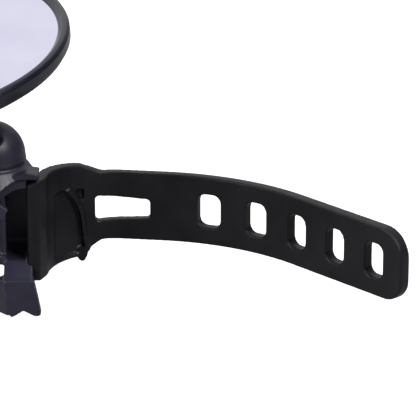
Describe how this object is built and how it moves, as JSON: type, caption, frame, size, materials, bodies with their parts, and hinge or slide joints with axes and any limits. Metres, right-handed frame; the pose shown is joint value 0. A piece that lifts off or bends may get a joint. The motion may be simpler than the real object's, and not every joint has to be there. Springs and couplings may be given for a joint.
{
  "type": "bike mirror",
  "caption": "Round convex mirror on a ball-jointed arm, with a bracket and a rubber strap that wraps round a handlebar.",
  "frame": {"origin": "on the handlebar's axis, half way up the cradle pad", "axes": "+Z along the handlebar, +X along the strap's tail, +Y the way a rider in front of the strap looks"},
  "size_m": [0.1612, 0.0857, 0.0696],
  "materials": {
    "silvered_glass": "polished",
    "adhesive_foam": "matte",
    "inner_plastic": "moulded",
    "gloss_black_plastic": "satin gloss",
    "black_plastic": "fine spark-eroded texture",
    "black_nylon": "moulded",
    "natural_nylon": "moulded",
    "black_rubber": "satin",
    "spring_steel": "ground",
    "zinc_steel": "zinc plated",
    "black_oxide_steel": "black oxide",
    "brass": "turned"
  },
  "bodies": {
    "clip": {"strap": "black_rubber", "pad_insert": "zinc_steel", "pad_screws": "zinc_steel", "bracket_body": "black_plastic", "strap_keeper": "black_nylon", "cup_retainer": "black_nylon", "pressure_slug": "brass"},
    "screw": {"tension_screw": "black_oxide_steel"},
    "lower_swivel": {"lower_cup": "natural_nylon"},
    "arm": {"lower_ball": "black_nylon", "upper_ball": "black_nylon", "arm_core": "spring_steel", "arm_sleeve": "black_plastic"},
    "upper_swivel": {"upper_cup": "natural_nylon"},
    "mirror": {"wave_washer": "spring_steel", "mirror_glass": "silvered_glass", "foam_pad": "adhesive_foam", "backing_plate": "inner_plastic", "bezel_ring": "gloss_black_plastic", "rear_shell": "black_plastic", "socket_cap": "black_plastic", "cap_screws": "zinc_steel"}
  },
  "joints": [
    {"name": "arm_swivel", "type": "hinge", "parent": "clip", "child": "lower_swivel", "pos_m": [-0.029, 0.005, 0.0171], "axis": [-0.9526, 0.1197, 0.2797], "range_deg": [-70, 70]},
    {"name": "arm_tilt", "type": "hinge", "parent": "lower_swivel", "child": "arm", "pos_m": [-0.029, 0.005, 0.0171], "axis": [0.1247, 0.9922, 0], "range_deg": [-22, 22]},
    {"name": "mirror_tilt", "type": "hinge", "parent": "arm", "child": "upper_swivel", "pos_m": [-0.05136, 0.00657, 0.03136], "axis": [-0.012, 0.9894, 0.1445], "range_deg": [-24, 14]},
    {"name": "mirror_spin", "type": "hinge", "parent": "upper_swivel", "child": "mirror", "pos_m": [-0.05136, 0.00657, 0.03136], "axis": [-0.082, -0.145, 0.986], "continuous": true},
    {"name": "tension_turn", "type": "hinge", "parent": "clip", "child": "screw", "pos_m": [-0.02641, -0.00022, 0.02179], "axis": [0.3463, -0.698, 0.6268], "range_deg": [0, 720]}
  ]
}
